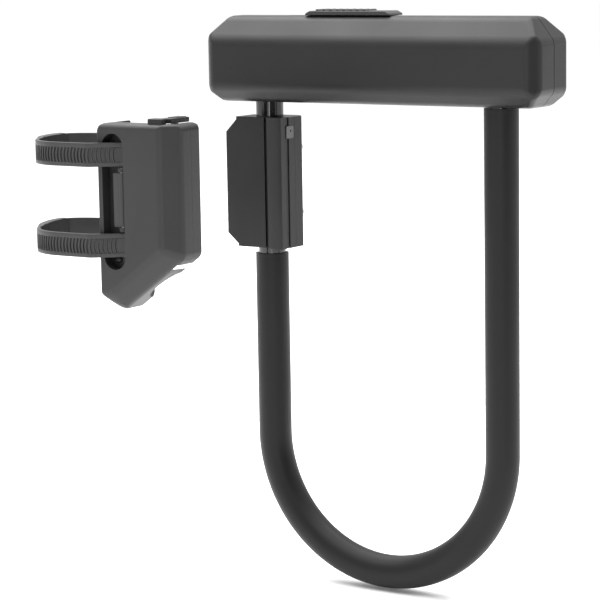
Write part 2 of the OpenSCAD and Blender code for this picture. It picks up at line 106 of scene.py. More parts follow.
# %% [markdown]
# ## Studio floor and light
#
# Black plastic shows almost none of its own colour: what the eye reads is the
# light that its faces mirror. So the light is drawn as surfaces. A white room
# lights the floor evenly, a large soft box overhead brightens every face that
# looks up, and one narrow strip beside the camera draws the thin line on the
# bare steel. A dark card, seen only in reflections, keeps the faces that look
# past the camera deep, as a black flag does in a studio.

# %% Small helpers for node graphs
def link(tree, a, out, b, into):
    """Joins output `out` of node a to input `into` of node b."""
    tree.links.new(a.outputs[out], b.inputs[into])


def node(tree, kind, **values):
    """Adds a node and sets its properties and the defaults of its named inputs."""
    n = tree.nodes.new(kind)
    for key, value in values.items():
        if hasattr(n, key):
            setattr(n, key, value)
        else:
            n.inputs[key.replace("_", " ")].default_value = value
    return n


# %% White room
world = bpy.data.worlds.new("white_room")
bpy.context.scene.world = world
world.use_nodes = True
wt = world.node_tree
wt.nodes.clear()
out = node(wt, "ShaderNodeOutputWorld")
mix = node(wt, "ShaderNodeMixShader")
seen = node(wt, "ShaderNodeBackground", Color=(1, 1, 1, 1), Strength=1.06)
room = node(wt, "ShaderNodeBackground")
path = node(wt, "ShaderNodeLightPath")
coord = node(wt, "ShaderNodeTexCoord")
flag = node(wt, "ShaderNodeVectorMath", operation="DOT_PRODUCT")
flag.inputs[1].default_value = Vector((0.70, -0.68, -0.22)).normalized()
dim = node(wt, "ShaderNodeMapRange", interpolation_type="SMOOTHSTEP")
for i, v in ((1, 0.35), (2, 0.95), (3, 1.45), (4, 0.24)):
    dim.inputs[i].default_value = v
link(wt, coord, "Generated", flag, 0)
link(wt, flag, "Value", dim, 0)
link(wt, dim, 0, room, "Strength")
link(wt, path, "Is Camera Ray", mix, 0)
link(wt, room, 0, mix, 1)
link(wt, seen, 0, mix, 2)
link(wt, mix, 0, out, 0)


# %% Floor and dark card
def flat_sheet(name, corners):
    """A four-cornered sheet."""
    me = bpy.data.meshes.new(name)
    me.from_pydata([Vector(c) for c in corners], [], [(0, 1, 2, 3)])
    ob = bpy.data.objects.new(name, me)
    bpy.context.scene.collection.objects.link(ob)
    return ob


floor_z = cad_box[0][2] - 0.001
floor = flat_sheet("floor", [(-30, -30, floor_z), (30, -30, floor_z), (30, 30, floor_z), (-30, 30, floor_z)])
pale = bpy.data.materials.new("pale_floor")
pale.use_nodes = True
pale.node_tree.nodes["Principled BSDF"].inputs["Base Color"].default_value = (0.92, 0.92, 0.92, 1)
pale.node_tree.nodes["Principled BSDF"].inputs["Roughness"].default_value = 1.0
pale.node_tree.nodes["Principled BSDF"].inputs["Specular IOR Level"].default_value = 0.0
floor.data.materials.append(pale)

centre = Vector((0.12, 0.08, 0.0))
card_way = Vector((0.80, -0.60, 0))
card_side = Vector((0.60, 0.80, 0))
card_mid = centre + card_way * 1.5
card = flat_sheet("dark_card", [card_mid + card_side * s * 0.75 + Vector((0, 0, z)) for s, z in
                                ((-1, floor_z + 0.01), (1, floor_z + 0.01), (1, 0.5), (-1, 0.5))])
black = bpy.data.materials.new("dark_card")
black.use_nodes = True
black.node_tree.nodes["Principled BSDF"].inputs["Base Color"].default_value = (0.04, 0.04, 0.04, 1)
black.node_tree.nodes["Principled BSDF"].inputs["Roughness"].default_value = 1.0
card.data.materials.append(black)
card.visible_camera = card.visible_diffuse = card.visible_shadow = False


# %% Soft boxes
def soft_box(name, at, towards, width, height, radiance):
    """An area light of that size and brightness, facing a point."""
    data = bpy.data.lights.new(name, "AREA")
    data.shape = "RECTANGLE"
    data.size, data.size_y = width, height
    data.energy = radiance * math.pi * width * height
    ob = bpy.data.objects.new(name, data)
    ob.location = at
    ob.rotation_euler = (Vector(towards) - Vector(at)).to_track_quat("-Z", "Y").to_euler()
    bpy.context.scene.collection.objects.link(ob)
    return ob


soft_box("overhead_box", (-0.25, 0.05, 1.45), (-0.25, 0.0501, 0), 2.4, 2.4, 4.2)
strip_at = cam.matrix_world.translation - right * 0.10 - ahead * 0.15 + Vector((0, 0, 0.02))
soft_box("camera_strip", strip_at, (0.05, 0.1, 0.03), 0.09, 0.7, 9.0)
bpy.context.scene.view_settings.view_transform = "Standard"
bpy.context.scene.view_settings.look = "None"

# %% [markdown]
# ## Finishes
#
# Moulded plastic has a fine spark-eroded grain, a slightly uneven sheen, and
# edges that rub paler with use. One function builds that graph, and each
# plastic gets its own tone, sheen and grain. Patterns read Object coordinates:
# each piece sits at the origin, so the grain has the same real size on all of
# them. Rubber is duller, with softer grain. Steel and brass are metallic, with
# fine lines from rolling or turning.


# %% Grain, sheen and wear
def finish(name, tone, rough, grain=0.35, bump=0.05, wear=1.5, patch=0.12, metallic=0.0, ior=1.46, stretch=(1, 1, 1)):
    """A material: base tone, roughness, grain size in mm, bump height, and how much paler edges are."""
    m = bpy.data.materials.new(name)
    m.use_nodes = True
    t = m.node_tree
    b = t.nodes["Principled BSDF"]
    b.inputs["Metallic"].default_value = metallic
    b.inputs["IOR"].default_value = ior
    at = node(t, "ShaderNodeTexCoord")
    lay = node(t, "ShaderNodeMapping")
    lay.inputs["Scale"].default_value = stretch
    link(t, at, "Object", lay, "Vector")
    fine = node(t, "ShaderNodeTexNoise", Scale=0.7 / (grain * mm), Detail=3.0, Roughness=0.6)
    cloud = node(t, "ShaderNodeTexNoise", Scale=28.0, Detail=4.0, Roughness=0.55)
    link(t, lay, 0, fine, "Vector")
    link(t, at, "Object", cloud, "Vector")
    # Uneven sheen: the slow cloud varies the roughness
    sheen = node(t, "ShaderNodeMapRange")
    for i, v in ((1, 0.3), (2, 0.7), (3, rough * (1 - patch)), (4, rough * (1 + patch))):
        sheen.inputs[i].default_value = v
    link(t, cloud, "Fac", sheen, 0)
    link(t, sheen, 0, b, "Roughness")
    # Colour: a little variation, then paler where an edge is convex
    shade = node(t, "ShaderNodeMix", data_type="RGBA")
    shade.inputs[6].default_value = (*[c * (1 - patch) for c in tone], 1)
    shade.inputs[7].default_value = (*[c * (1 + patch) for c in tone], 1)
    link(t, cloud, "Fac", shade, 0)
    geo = node(t, "ShaderNodeNewGeometry")
    edge = node(t, "ShaderNodeMapRange")
    for i, v in ((1, 0.53), (2, 0.62), (3, 0.0), (4, 0.6)):
        edge.inputs[i].default_value = v
    rub = node(t, "ShaderNodeMath", operation="MULTIPLY")
    worn = node(t, "ShaderNodeMix", data_type="RGBA")
    worn.inputs[7].default_value = (*[min(1, c * wear + 0.004 * (wear > 1)) for c in tone], 1)
    link(t, geo, "Pointiness", edge, 0)
    link(t, edge, 0, rub, 0)
    link(t, cloud, "Fac", rub, 1)
    link(t, rub, 0, worn, 0)
    link(t, shade, 2, worn, 6)
    link(t, worn, 2, b, "Base Color")
    raise_ = node(t, "ShaderNodeBump", Strength=0.5, Distance=bump * mm)
    link(t, fine, "Fac", raise_, "Height")
    link(t, raise_, 0, b, "Normal")
    return m


def grey(v, tint=0.0):
    """A neutral tone, a touch cooler with tint."""
    return (v, v, v * (1 + tint))


mats = {
    "case_plastic": finish("case_plastic", grey(0.0070, 0.04), 0.42, grain=0.30, bump=0.035, ior=1.37),
    "cover_plastic": finish("cover_plastic", grey(0.016, 0.04), 0.42, grain=0.28, bump=0.03),
    "clip_plastic": finish("clip_plastic", grey(0.0060, 0.03), 0.42, grain=0.45, bump=0.06, ior=1.36),
    "bracket_plastic": finish("bracket_plastic", grey(0.016, 0.03), 0.42, grain=0.40, bump=0.05, ior=1.40),
    "strap_plastic": finish("strap_plastic", grey(0.020, 0.03), 0.42, grain=0.35, bump=0.03),
    "bushing_plastic": finish("bushing_plastic", grey(0.010), 0.45, grain=0.4, bump=0.02),
    "coat_rubber": finish("coat_rubber", grey(0.0030, 0.03), 0.46, grain=0.5, bump=0.03, wear=1.2, ior=1.33),
    "pad_rubber": finish("pad_rubber", grey(0.009), 0.70, grain=0.6, bump=0.08, wear=1.2),
    "plug_rubber": finish("plug_rubber", grey(0.075), 0.55, grain=0.4, bump=0.03),
    "bar_steel": finish("bar_steel", grey(0.006, 0.06), 0.13, grain=0.6, bump=0.004, wear=1.0, ior=1.6),
    "case_steel": finish("case_steel", grey(0.42, 0.02), 0.36, grain=0.25, bump=0.01, wear=1.1, metallic=1.0,
                         stretch=(0.05, 1, 1)),
    "screw_steel": finish("screw_steel", grey(0.48, 0.02), 0.28, grain=0.2, bump=0.01, wear=1.15, metallic=1.0),
    "brass": finish("brass", (0.74, 0.55, 0.24), 0.30, grain=0.2, bump=0.01, wear=1.1, metallic=1.0,
                    stretch=(1, 1, 0.1)),
}
slot_of_node = {part["node"]: part["material_slot"] for part in frame["record"]["subparts"]}
print("finishes:", len(mats))

# %% [markdown]
# ## Shapes that start from the CAD
#
# A CAD solid has knife edges, and nothing moulded does: the soft line of light
# along an edge is what makes a housing look real. The big housings are made in
# two steps. First a convex outer form is drawn from its corner points, and
# each edge gets its own radius. Then the CAD solid is cut to that form, so
# every pocket, slot and hole stays where the CAD puts it while the outside
# becomes soft. Smaller parts take one small bevel over all their edges.

# %% Helpers for soft-edged solids
def put(name, me, body, slot, replaces=()):
    """Links a finished mesh with the material of its slot, hangs it on its body and hides the CAD nodes it replaces."""
    ob = bpy.data.objects.new(name, me)
    bpy.context.scene.collection.objects.link(ob)
    me.materials.clear()
    me.materials.append(mats[slot])
    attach(ob, body)
    if replaces:
        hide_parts(*replaces)
    return ob


def scratch(name, me):
    """A temporary object for a mesh."""
    ob = bpy.data.objects.new(name, me)
    bpy.context.scene.collection.objects.link(ob)
    return ob


def baked(ob, name):
    """The object's mesh with its modifiers applied; the object is removed."""
    view = bpy.context.evaluated_depsgraph_get()
    me = bpy.data.meshes.new_from_object(ob.evaluated_get(view), depsgraph=view)
    me.name = name
    bpy.data.objects.remove(ob)
    return me


def cad_copy(name):
    """A copy of a CAD node's mesh, its corners merged and its flat faces joined."""
    bm = bmesh.new()
    bm.from_mesh(nodes[name].data)
    bmesh.ops.remove_doubles(bm, verts=bm.verts, dist=0.004 * mm)
    bmesh.ops.dissolve_limit(bm, angle_limit=math.radians(0.4), verts=bm.verts, edges=bm.edges, delimit=set())
    me = bpy.data.meshes.new(name + "_copy")
    bm.to_mesh(me)
    bm.free()
    me.materials.clear()
    return me


def soften(me, name, width, segments=3, angle=32, weights=None):
    """Bevels a mesh's edges, by angle or by each edge's own radius, and returns the baked mesh."""
    ob = scratch(name, me)
    if width:
        mod = ob.modifiers.new("edge", "BEVEL")
        mod.width = width
        mod.segments = segments
        mod.use_clamp_overlap = True
        mod.miter_outer = "MITER_ARC"
        if weights is None:
            mod.limit_method = "ANGLE"
            mod.angle_limit = math.radians(angle)
        else:
            layer = me.attributes.new("bevel_weight_edge", "FLOAT", "EDGE")
            for e in me.edges:
                a, b = (me.vertices[i].co for i in e.vertices)
                layer.data[e.index].value = weights((a + b) / 2, (b - a).normalized()) / width
            mod.limit_method = "WEIGHT"
    return baked(ob, name)


def shade(me, angle=38):
    """Smooth shading broken at edges sharper than the angle, with area-weighted normals."""
    bm = bmesh.new()
    bm.from_mesh(me)
    for f in bm.faces:
        f.smooth = True
    for e in bm.edges:
        e.smooth = len(e.link_faces) == 2 and e.calc_face_angle(0) < math.radians(angle)
    bm.to_mesh(me)
    bm.free()
    ob = scratch(me.name, me)
    mod = ob.modifiers.new("normals", "WEIGHTED_NORMAL")
    mod.keep_sharp = True
    mod.weight = 80
    return baked(ob, me.name)


def combine(me, other, operation, name):
    """Exact boolean of two meshes."""
    a, b = scratch(name, me), scratch(name + "_tool", other)
    mod = a.modifiers.new("cut", "BOOLEAN")
    mod.object = b
    mod.operation = operation
    mod.solver = "EXACT"
    result = baked(a, name)
    bpy.data.objects.remove(b)
    return result


def hull_mesh(points, name):
    """Convex solid round some points, with its flat faces joined."""
    bm = bmesh.new()
    for p in points:
        bm.verts.new(p)
    bmesh.ops.convex_hull(bm, input=bm.verts)
    bmesh.ops.dissolve_limit(bm, angle_limit=math.radians(0.5), verts=bm.verts, edges=bm.edges, delimit=set())
    bmesh.ops.recalc_face_normals(bm, faces=bm.faces)
    me = bpy.data.meshes.new(name)
    bm.to_mesh(me)
    bm.free()
    return me


def trimmed(me, name, planes):
    """Cuts a closed mesh by planes (point, outward normal) and closes each cut."""
    bm = bmesh.new()
    bm.from_mesh(me)
    for at, normal in planes:
        cut = bmesh.ops.bisect_plane(bm, geom=bm.verts[:] + bm.edges[:] + bm.faces[:], dist=1e-7,
                                     plane_co=at, plane_no=normal, clear_outer=True)
        rim = [e for e in cut["geom_cut"] if isinstance(e, bmesh.types.BMEdge)]
        bmesh.ops.edgeloop_fill(bm, edges=rim)
    bmesh.ops.recalc_face_normals(bm, faces=bm.faces)
    out_me = bpy.data.meshes.new(name)
    bm.to_mesh(out_me)
    bm.free()
    return out_me


def box_mesh(low, high, name):
    """A box from two corners."""
    return hull_mesh([(x, y, z) for x in (low[0], high[0]) for y in (low[1], high[1]) for z in (low[2], high[2])], name)


# %% [markdown]
# ## Crossbar shells
#
# The crossbar is a box with broad chamfers along its length and smaller ones
# at its ends, in two moulded halves that meet on the plane of the shackle. It
# could be a scaled cube with a bevel, but its chamfers differ, so it is drawn
# as a block cut by planes. The long upper edges are rounder than the rest, as
# they are where a hand takes hold. Each half's rim is turned in a little, so
# the seam shows as a fine dark line.

# %% Crossbar shells
lo = Vector(tuple(min(a, b) for a, b in zip(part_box("crossbar_front_shell")[0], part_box("crossbar_rear_shell")[0])))
hi = Vector(tuple(max(a, b) for a, b in zip(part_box("crossbar_front_shell")[1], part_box("crossbar_rear_shell")[1])))
skin = 0.03 * mm
lo_in, hi_in = lo + Vector((skin,) * 3), hi - Vector((skin,) * 3)
lock_mid = (lo + hi) / 2
top_cut, low_cut, side_cut, end_top_cut, end_low_cut = (v * mm for v in (11.65, 7.55, 5.1, 9.0, 6.6))
cuts = []
for s, y in ((-1, lo_in.y), (1, hi_in.y)):
    cuts.append(((0, y, hi_in.z - top_cut), Vector((0, s, 1)).normalized()))
    cuts.append(((0, y, lo_in.z + low_cut), Vector((0, s, -1)).normalized()))
for s, x in ((-1, lo_in.x), (1, hi_in.x)):
    cuts.append(((x, 0, hi_in.z - top_cut), Vector((s * top_cut, 0, end_top_cut)).normalized()))
    cuts.append(((x, 0, lo_in.z + low_cut), Vector((s * low_cut, 0, -end_low_cut)).normalized()))
    for q, y in ((-1, lo_in.y), (1, hi_in.y)):
        cuts.append(((x, y - q * side_cut, 0), Vector((s, q, 0)).normalized()))
block = trimmed(box_mesh(lo_in, hi_in, "crossbar_block"), "crossbar_block", cuts)


def crossbar_radius(mid, along):
    """Edge radius: large on the long upper edges, smaller elsewhere."""
    if abs(along.x) > 0.95:
        return (3.4 if mid.z > lock_mid.z else 2.6) * mm
    return 2.0 * mm


soft_block = soften(block, "crossbar_soft", 3.4 * mm, segments=5, weights=crossbar_radius)
seam_half = 0.22 * mm
for name, side in (("crossbar_front_shell", -1), ("crossbar_rear_shell", 1)):
    half = trimmed(soft_block, name, [((0, lock_mid.y + side * seam_half, 0), Vector((0, -side, 0)))])
    rim_y = lock_mid.y + side * seam_half
    half = soften(half, name, 0.35 * mm, segments=2,
                  weights=lambda mid, along: 0.35 * mm if abs(mid.y - rim_y) < 0.01 * mm else 0)
    shell = shade(combine(cad_copy(name), half, "INTERSECT", name))
    put("shell_" + ("front" if side < 0 else "rear"), shell, "crossbar", "case_plastic", [name])
    print(name, "faces:", len(shell.polygons))

# %% [markdown]
# ## Growing parts with Geometry Nodes
#
# Three things on this lock follow a rule instead of a drawing: a coat swept
# along the bent bar, ridges that repeat along a strap, and thumb ridges in a
# straight row. Modelling each ridge by hand would be slow and hard to change,
# so small node trees make them from a path or a count. Each tree ends in real
# geometry, which is turned into a plain mesh before it joins the lock.

# %% Helpers for node trees
def growing_tree(name, inputs):
    """A geometry tree with named inputs; returns the tree, its input and output nodes, and each input's identifier."""
    tree = bpy.data.node_groups.new(name, "GeometryNodeTree")
    tree.interface.new_socket("Geometry", in_out="INPUT", socket_type="NodeSocketGeometry")
    ids = {}
    for label, kind in inputs:
        ids[label] = tree.interface.new_socket(label, in_out="INPUT", socket_type=kind).identifier
    tree.interface.new_socket("Geometry", in_out="OUTPUT", socket_type="NodeSocketGeometry")
    return tree, tree.nodes.new("NodeGroupInput"), tree.nodes.new("NodeGroupOutput"), ids


def close_tree(tree, last, out_socket, given, result):
    """Ends a tree in Realize Instances and Set Material."""
    real = node(tree, "GeometryNodeRealizeInstances")
    paint = node(tree, "GeometryNodeSetMaterial")
    link(tree, last, out_socket, real, 0)
    link(tree, real, 0, paint, "Geometry")
    link(tree, given, "Material", paint, "Material")
    link(tree, paint, 0, result, 0)


def grow(name, me, tree, ids, **values):
    """Runs a tree on a mesh with those inputs and returns the plain mesh."""
    ob = scratch(name, me)
    mod = ob.modifiers.new("grow", "NODES")
    mod.node_group = tree
    for label, value in values.items():
        mod[ids[label.replace("_", " ")]] = value
    return baked(ob, name)


def path_mesh(name, points, swell=None):
    """An open line of points, with an optional thickness factor at each."""
    me = bpy.data.meshes.new(name)
    me.from_pydata([Vector(p) for p in points], [(i, i + 1) for i in range(len(points) - 1)], [])
    layer = me.attributes.new("swell", "FLOAT", "POINT")
    for i in range(len(points)):
        layer.data[i].value = swell[i] if swell else 1.0
    return me


FLOAT, INT, VEC, MAT = "NodeSocketFloat", "NodeSocketInt", "NodeSocketVector", "NodeSocketMaterial"

# %% Swept tube tree
tube_tree, given, result, tube_ids = growing_tree("swept_tube", [("Radius", FLOAT), ("Sides", INT), ("Material", MAT)])
curve = node(tube_tree, "GeometryNodeMeshToCurve")
factor = node(tube_tree, "GeometryNodeInputNamedAttribute", data_type="FLOAT")
factor.inputs["Name"].default_value = "swell"
thick = node(tube_tree, "GeometryNodeSetCurveRadius")
ring = node(tube_tree, "GeometryNodeCurvePrimitiveCircle")
sweep = node(tube_tree, "GeometryNodeCurveToMesh")
sweep.inputs["Fill Caps"].default_value = True
smooth = node(tube_tree, "GeometryNodeSetShadeSmooth")
link(tube_tree, given, "Geometry", curve, 0)
link(tube_tree, curve, 0, thick, 0)
link(tube_tree, factor, 0, thick, "Radius")
link(tube_tree, given, "Sides", ring, "Resolution")
link(tube_tree, given, "Radius", ring, "Radius")
link(tube_tree, thick, 0, sweep, 0)
link(tube_tree, ring, 0, sweep, 1)
link(tube_tree, sweep, 0, smooth, 0)
close_tree(tube_tree, smooth, 0, given, result)

# %% [markdown]
# ## Rubber coat
#
# The coat is a thick sleeve that follows the bar down, round the half circle
# and up again. It is a circle swept along that line, and the last millimetre
# at each end draws in to a rounded lip, where rubber is trimmed and melted.
# The bare steel above it is the CAD bar, which already has its bolt notches.

# %% Coat
coat_lo, coat_hi = (Vector(c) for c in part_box("shackle_coat"))
coat_r = (coat_hi.y - coat_lo.y) / 2
leg_y = (coat_hi.y + coat_lo.y) / 2
left_x, right_x = coat_lo.x + coat_r, coat_hi.x - coat_r
bend_r = (right_x - left_x) / 2
bend_z = coat_lo.z + coat_r + bend_r
left_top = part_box("clip_front")[0][2] - 3.5 * mm
line, swell = [], []
lip = ((0.0, 0.90), (0.15, 0.94), (0.45, 0.975), (0.9, 0.995), (1.5, 1.0))
for d, f in lip:
    line.append((left_x, leg_y, left_top - d * mm))
    swell.append(f)
for i in range(1, 12):
    line.append((left_x, leg_y, left_top - 1.5 * mm + (bend_z - left_top + 1.5 * mm) * i / 12))
for i in range(73):
    a = math.pi * i / 72
    line.append(((left_x + right_x) / 2 - bend_r * math.cos(a), leg_y, bend_z - bend_r * math.sin(a)))
for i in range(1, 16):
    line.append((right_x, leg_y, bend_z + (coat_hi.z - 1.5 * mm - bend_z) * i / 16))
swell += [1.0] * (len(line) - len(swell))
for d, f in reversed(lip):
    line.append((right_x, leg_y, coat_hi.z - d * mm))
    swell.append(f)
coat = grow("coat", path_mesh("coat_line", line, swell), tube_tree, tube_ids,
            Radius=coat_r, Sides=72, Material=mats["coat_rubber"])
put("coat", shade(coat, 50), "shackle", "coat_rubber", ["shackle_coat"])
print("coat points:", len(line), "faces:", len(coat.polygons))

# %% [markdown]
# ## Keyhole cover
#
# A low slide covers the keyhole. Its ends slope, and a row of ridges gives the
# thumb a grip. The slide is an extruded outline with a small bevel, and the
# ridges are rounded bars that a tree repeats in a row, so their count and
# spacing can change without redrawing anything.

# %% Ridge row tree
row_tree, given, result, row_ids = growing_tree("ridge_row", [
    ("Count", INT), ("Start", VEC), ("Step", VEC), ("Size", VEC), ("Turn", VEC), ("Material", MAT)])
spots = node(row_tree, "GeometryNodeMeshLine", mode="OFFSET")
bar = node(row_tree, "GeometryNodeMeshCylinder")
bar.inputs["Vertices"].default_value = 20
bar.inputs["Radius"].default_value = 1.0
bar.inputs["Depth"].default_value = 1.0
shape = node(row_tree, "GeometryNodeTransform")
turn = node(row_tree, "GeometryNodeTransform")
turn.inputs["Rotation"].default_value = (math.pi / 2, 0, 0)
copy = node(row_tree, "GeometryNodeInstanceOnPoints")
link(row_tree, given, "Count", spots, "Count")
link(row_tree, given, "Start", spots, "Start Location")
link(row_tree, given, "Step", spots, "Offset")
link(row_tree, bar, "Mesh", turn, "Geometry")
link(row_tree, turn, 0, shape, "Geometry")
link(row_tree, given, "Size", shape, "Scale")
link(row_tree, given, "Turn", shape, "Rotation")
link(row_tree, spots, 0, copy, "Points")
link(row_tree, shape, 0, copy, "Instance")
close_tree(row_tree, copy, 0, given, result)


def ridge_row(name, slot, count, start, step, size, turned=(0, 0, 0)):
    """A row of rounded bars: size is half width, length and half height."""
    me = grow(name, path_mesh(name + "_seed", [start, start]), row_tree, row_ids, Count=count,
              Start=tuple(start), Step=tuple(step), Size=tuple(size), Turn=tuple(turned), Material=mats[slot])
    return shade(me, 50)


def joined(name, meshes):
    """Several meshes in one."""
    bm = bmesh.new()
    for me in meshes:
        bm.from_mesh(me)
    me = bpy.data.meshes.new(name)
    bm.to_mesh(me)
    bm.free()
    return me


def extruded(name, outline, low, high):
    """A convex XZ outline given depth along Y."""
    return hull_mesh([(x, y, z) for x, z in outline for y in (low, high)], name)


# %% Keyhole cover
c_lo, c_hi = (Vector(c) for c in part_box("keyhole_cover"))
plate_low = hi.z + 0.1 * mm
plate_top = plate_low + 2.3 * mm
x0, x1 = c_lo.x, c_hi.x
outline = [(x0, plate_low), (x1, plate_low), (x1 - 0.6 * mm, plate_low + 1.1 * mm), (x1 - 3 * mm, plate_top),
           (x0 + 3 * mm, plate_top), (x0 + 0.6 * mm, plate_low + 1.1 * mm)]
plate = shade(soften(extruded("cover_plate", outline, c_lo.y, c_hi.y), "cover_plate", 0.5 * mm, segments=3, angle=20))
foot_right = x1 - 21 * mm
foot_left = foot_right - 22 * mm
neck_half, foot_half = 1.8 * mm, 3.5 * mm
runner = joined("cover_runner", [
    box_mesh((foot_left, lock_mid.y - neck_half, hi.z - 2.4 * mm),
             (foot_right, lock_mid.y + neck_half, plate_low + 0.4 * mm), "neck"),
    box_mesh((foot_left, lock_mid.y - foot_half, hi.z - 4.2 * mm),
             (foot_right, lock_mid.y + foot_half, hi.z - 2.3 * mm), "foot")])
count = 8
first, last = x0 + 7 * mm, x1 - 15.5 * mm
grips = ridge_row("cover_ridges", "cover_plastic", count, (first, lock_mid.y, plate_top),
                  ((last - first) / (count - 1), 0, 0), (0.95 * mm, c_hi.y - c_lo.y - 2.4 * mm, 0.8 * mm))
put("cover_slide", joined("cover_slide", [plate, shade(runner), grips]), "cover", "cover_plastic", ["keyhole_cover"])
print("cover ridges:", count)

# %% [markdown]
# ## Clip and small moulded parts
#
# The clip's two halves, the latch, the release lever and the saddle pad start
# as copies of their CAD shapes, merged into clean faces, and take one small
# bevel. The clip's front gets two cuts that the CAD doesn't have: a groove
# beside its raised strip, and a slight slant on the strip, so that the strip
# catches a little more light than the wing next to it.

# %% Clip, latch, lever and pad
for piece, source, radius, slot in (
        ("clip_shell_front", "clip_front", 0.45, "clip_plastic"), ("clip_shell_rear", "clip_rear", 0.5, "clip_plastic"),
        ("latch_slide", "dock_latch", 0.5, "clip_plastic"), ("release_flap", "strap_release", 0.3, "strap_plastic"),
        ("tube_pad", "saddle_pad", 0.6, "pad_rubber")):
    raw = cad_copy(source)
    if source == "clip_front":
        wing_lo, wing_hi = (Vector(c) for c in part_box(source))
        top, low = wing_hi.z + 1 * mm, wing_lo.z - 1 * mm
        groove_x, groove_y = wing_lo.x + 23.4 * mm, wing_lo.y + 4.1 * mm
        strip_left, strip_right = wing_lo.x + 26.2 * mm, wing_hi.x + 0.1 * mm
        groove = box_mesh((groove_x, wing_lo.y - 1 * mm, low), (groove_x + 1.5 * mm, groove_y, top), "strip_groove")
        ahead_y, slant_y = wing_lo.y - 0.5 * mm, wing_lo.y + 1.2 * mm
        wedge = ((strip_left, ahead_y), (strip_right, ahead_y), (strip_left, slant_y))
        slant = hull_mesh([(x, y, z) for z in (low, top) for x, y in wedge], "strip_slant")
        raw = combine(combine(raw, groove, "DIFFERENCE", "grooved"), slant, "DIFFERENCE", "slanted")
    me = shade(soften(raw, piece, radius * mm, segments=3, angle=35))
    put(piece, me, body_of_node[source], slot, [source])
    print(piece, "faces:", len(me.polygons))
l_hi = Vector(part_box("dock_latch")[1])
grips = ridge_row("latch_ridges", "clip_plastic", 5, (l_hi.x - 3.5 * mm, l_hi.y - 8.5 * mm, l_hi.z),
                  (0, 1.7 * mm, 0), (0.5 * mm, 5.0 * mm, 0.35 * mm), (0, 0, math.pi / 2))
put("latch_ridges", grips, "latch", "clip_plastic")

# %% [markdown]
# ## Bracket shells
#
# The bracket is one convex block with a broad chamfer on its front right side
# and a slanted foot, hollowed for the clip and the straps. Its outer edges are
# quite round, about three millimetres along the top, so the same two steps as
# for the crossbar are used: a softened outer block, then the CAD shell cut to
# it. The rear shell also keeps its two strap ears, so plain boxes are added to
# its block where they stand.

# %% Bracket block
bf_lo, bf_hi = (Vector(c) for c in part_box("bracket_front_shell"))
br_lo, br_hi = (Vector(c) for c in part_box("bracket_rear_shell"))
bx, by, rim = bf_lo.x, bf_lo.y, bf_hi.z
b_right, b_back = bf_hi.x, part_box("bracket_screws")[1][1] + 0.5 * mm
wide, tall, side_tall = b_right - bx, rim - bf_lo.z, 64 * mm
cut, tip, foot = 7.8 * mm, 7.2 * mm, 7.3 * mm


def bracket_outline(c):
    """The bracket seen from the front, drawn in by c on its right and lower sides."""
    drop, run = tall - side_tall, wide - tip
    lift, slope = c * math.hypot(drop, run) / run, drop / run
    side_low = (wide - c, -side_tall + lift - slope * c)
    return [(0, 0), (wide - c, 0), side_low, (tip, -tall + lift), (0, -tall + foot + c * 0.12)]


block_mid = Vector((bx + wide / 2, (by + b_back) / 2, rim - tall / 2))


def drawn_in(p):
    """A corner moved a hair towards the middle, so the block's faces lie inside the CAD's."""
    return tuple(v - math.copysign(skin, v - m) for v, m in zip(p, block_mid))


corners = [drawn_in((bx + x, y, rim + z))
           for c, ys in ((0, (by + cut, b_back)), (cut, (by,))) for y in ys for x, z in bracket_outline(c)]


def bracket_radius(mid, along):
    """Radii of the bracket's outer edges."""
    top = mid.z > rim - 0.5 * mm
    if top and abs(along.y) > 0.95:
        return 3.8 * mm
    if top:
        return (3.0 if mid.y < by + 1 * mm else 1.8) * mm
    if mid.x < bx + 0.5 * mm:
        return 1.0 * mm
    if abs(along.z) > 0.95:
        return 1.9 * mm
    return 2.4 * mm


soft_bracket = soften(hull_mesh(corners, "bracket_block"), "bracket_soft", 3.8 * mm, segments=5, weights=bracket_radius)
strap_z = 21.85
ear_half = 8.2
ears = [box_mesh((br_lo.x - 1 * mm, br_lo.y, s * strap_z * mm - ear_half * mm),
                 (bx + 3 * mm, br_hi.y + 1 * mm, s * strap_z * mm + ear_half * mm), "ear")
        for s in (-1, 1)]
rear_block = combine(combine(soft_bracket.copy(), ears[0], "UNION", "rear_block"), ears[1], "UNION", "rear_block")
for name, form in (("bracket_front_shell", soft_bracket), ("bracket_rear_shell", rear_block)):
    shell = shade(combine(cad_copy(name), form, "INTERSECT", name))
    put("bracket_" + ("front" if "front" in name else "rear"), shell, "bracket", "bracket_plastic", [name])
    print(name, "faces:", len(shell.polygons))

# %% Moulding boss at the foot of the strap recess
seat = Vector((28.6 * mm, -7.2 * mm, -29.3 * mm))
bm = bmesh.new()
bmesh.ops.create_uvsphere(bm, u_segments=32, v_segments=16, radius=1.0)
for v in bm.verts:
    v.co = seat + Vector((v.co.x * 2.3, v.co.y * 1.6, v.co.z * 1.5)) * mm
boss = bpy.data.meshes.new("recess_boss")
bm.to_mesh(boss)
bm.free()
put("recess_boss", shade(boss, 60), "bracket", "bracket_plastic")

# %% [markdown]
# ## Straps
#
# Each strap is a flat moulded band with a sunken channel along its outer face,
# and close, slightly bowed ridges across the channel, which the buckle bites.
# The band is one cross-section carried along the strap's path in code, since
# its channel must keep its place on the outside of every bend. The ridges are
# grown by a tree: points at an even pitch along the path, each turned to the
# path. The straps are flexible, so each loop sits a few millimetres slack at
# the left, where a thick head closes it, and rises a little behind the tube.

# %% Strap path
tube_r = 17.45
band_r = tube_r + 1.0


